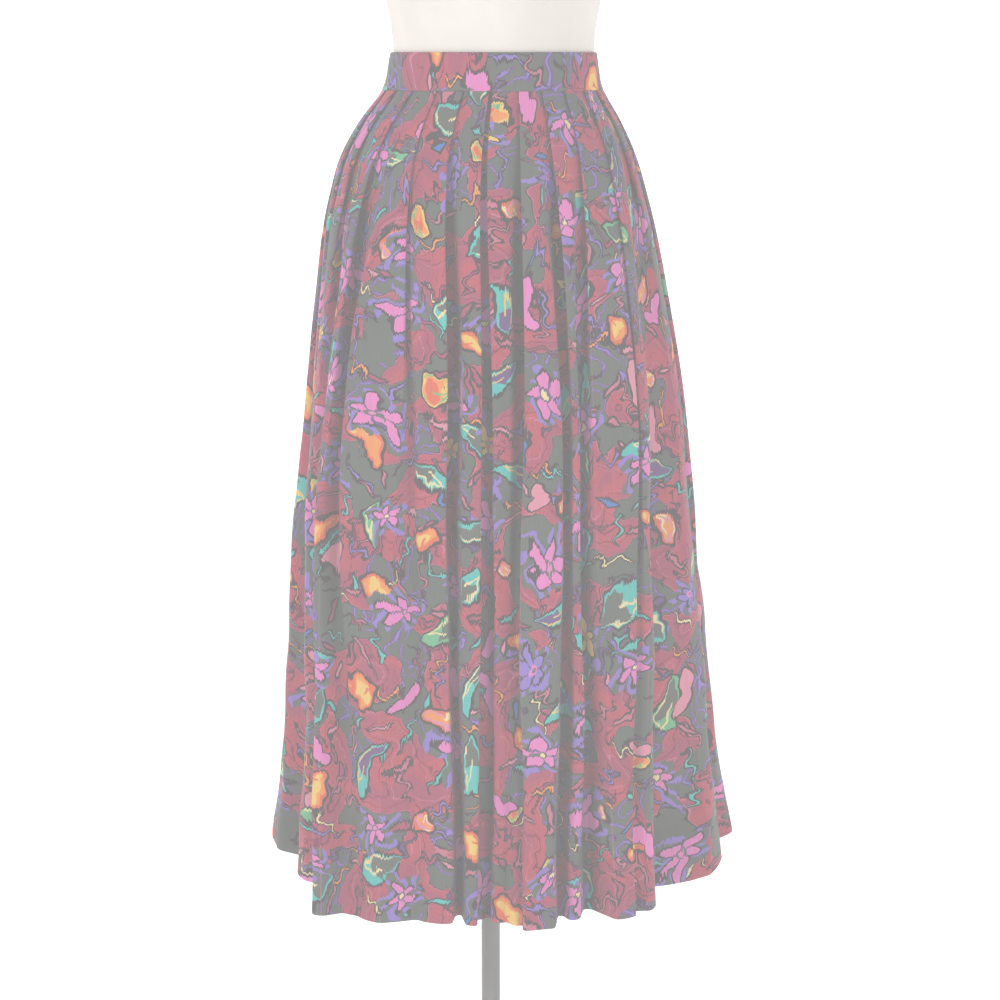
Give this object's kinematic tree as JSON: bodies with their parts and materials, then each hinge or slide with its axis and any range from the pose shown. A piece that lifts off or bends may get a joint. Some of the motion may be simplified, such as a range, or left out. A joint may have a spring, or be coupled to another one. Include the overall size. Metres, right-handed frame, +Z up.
{
  "type": "pleated midi skirt on a dress form",
  "caption": "High-waisted knife-pleated midi skirt in printed cloth with a straight waistband, worn by a limbless dress form on a round pole and flat foot.",
  "frame": {"origin": "middle of the stand's foot, on the floor", "axes": "+Z up along the pole, the skirt's front faces -Y; left and right in the names are as seen from in front, +X being right"},
  "size_m": [0.5392, 0.492, 1.72],
  "materials": {
    "cloth": "soft printed crepe, matt",
    "button": "satin",
    "cover": "stretched jersey cover, matt",
    "steel": "grey enamel, satin"
  },
  "bodies": {
    "root": {"waistband": "cloth", "skirt_front": "cloth", "skirt_back_left": "cloth", "skirt_back_right": "cloth", "waistband_button": "button", "form_torso": "cover", "stand_pole": "steel", "stand_collar": "steel", "stand_base": "steel"}
  },
  "joints": []
}
